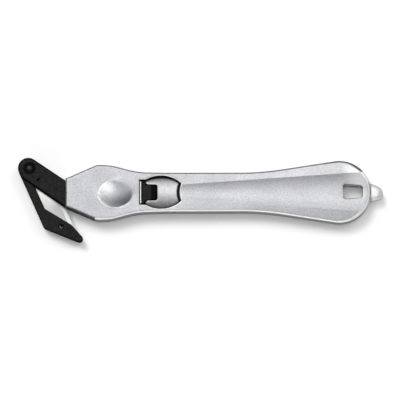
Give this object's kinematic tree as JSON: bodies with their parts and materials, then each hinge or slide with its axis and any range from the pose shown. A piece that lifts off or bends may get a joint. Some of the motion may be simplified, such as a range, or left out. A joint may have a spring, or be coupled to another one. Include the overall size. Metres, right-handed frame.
{
  "type": "hooked safety cutter",
  "caption": "Hooked safety cutter: cast metal handle with fluted grip, thumb lever, latched black head with a recessed blade, and a tape splitter on the round tail.",
  "frame": {"origin": "on the flat back face of the handle, on the handle's centre line, under the middle of the latch window", "axes": "+X runs along the handle to the tail, +Y is the side the head's nose leans to, +Z points out of the front face with the lever"},
  "size_m": [0.1652, 0.0385, 0.0116],
  "materials": {
    "casting": "bead-blasted cast light metal, satin",
    "splitter": "ground steel, satin",
    "lever": "cast light metal, satin",
    "pin": "drawn steel",
    "spring": "spring wire",
    "head_plastic": "moulded, fine texture",
    "rivets": "moulded, smooth",
    "blade_steel": "ground carbon steel with a bright bevel",
    "latch_plastic": "moulded, springy",
    "strip_steel": "folded bright strip"
  },
  "bodies": {
    "handle_body": {"handle": "casting", "tape_splitter": "splitter", "lever_pin": "pin", "lever_spring": "spring", "head_front_half": "head_plastic", "head_back_half": "head_plastic", "blade": "blade_steel", "nose_stud": "rivets", "arm_rivet": "rivets", "guard_rivet": "rivets", "shank_rivet": "rivets"},
    "lever_body": {"release_lever": "lever"},
    "latch_body": {"latch_tab": "latch_plastic", "latch_strip": "strip_steel"}
  },
  "joints": [
    {"name": "lever_press", "type": "hinge", "parent": "handle_body", "child": "lever_body", "pos_m": [0.006, 0, 0.0064], "axis": [0, -1, 0], "range_deg": [0, 8.2], "stiffness_Nm_per_rad": 0.15, "springref_deg": -8.59, "deforming": ["lever_spring"]},
    {"name": "latch_rock", "type": "hinge", "parent": "handle_body", "child": "latch_body", "pos_m": [-0.027, 0, 0.0067], "axis": [0, 1, 0], "range_deg": [0, 4.7], "stiffness_Nm_per_rad": 0.03, "springref_deg": -1.72}
  ],
  "couplings": [
    {"joint": "latch_rock", "follows": "lever_press", "ratio": 0.57}
  ]
}
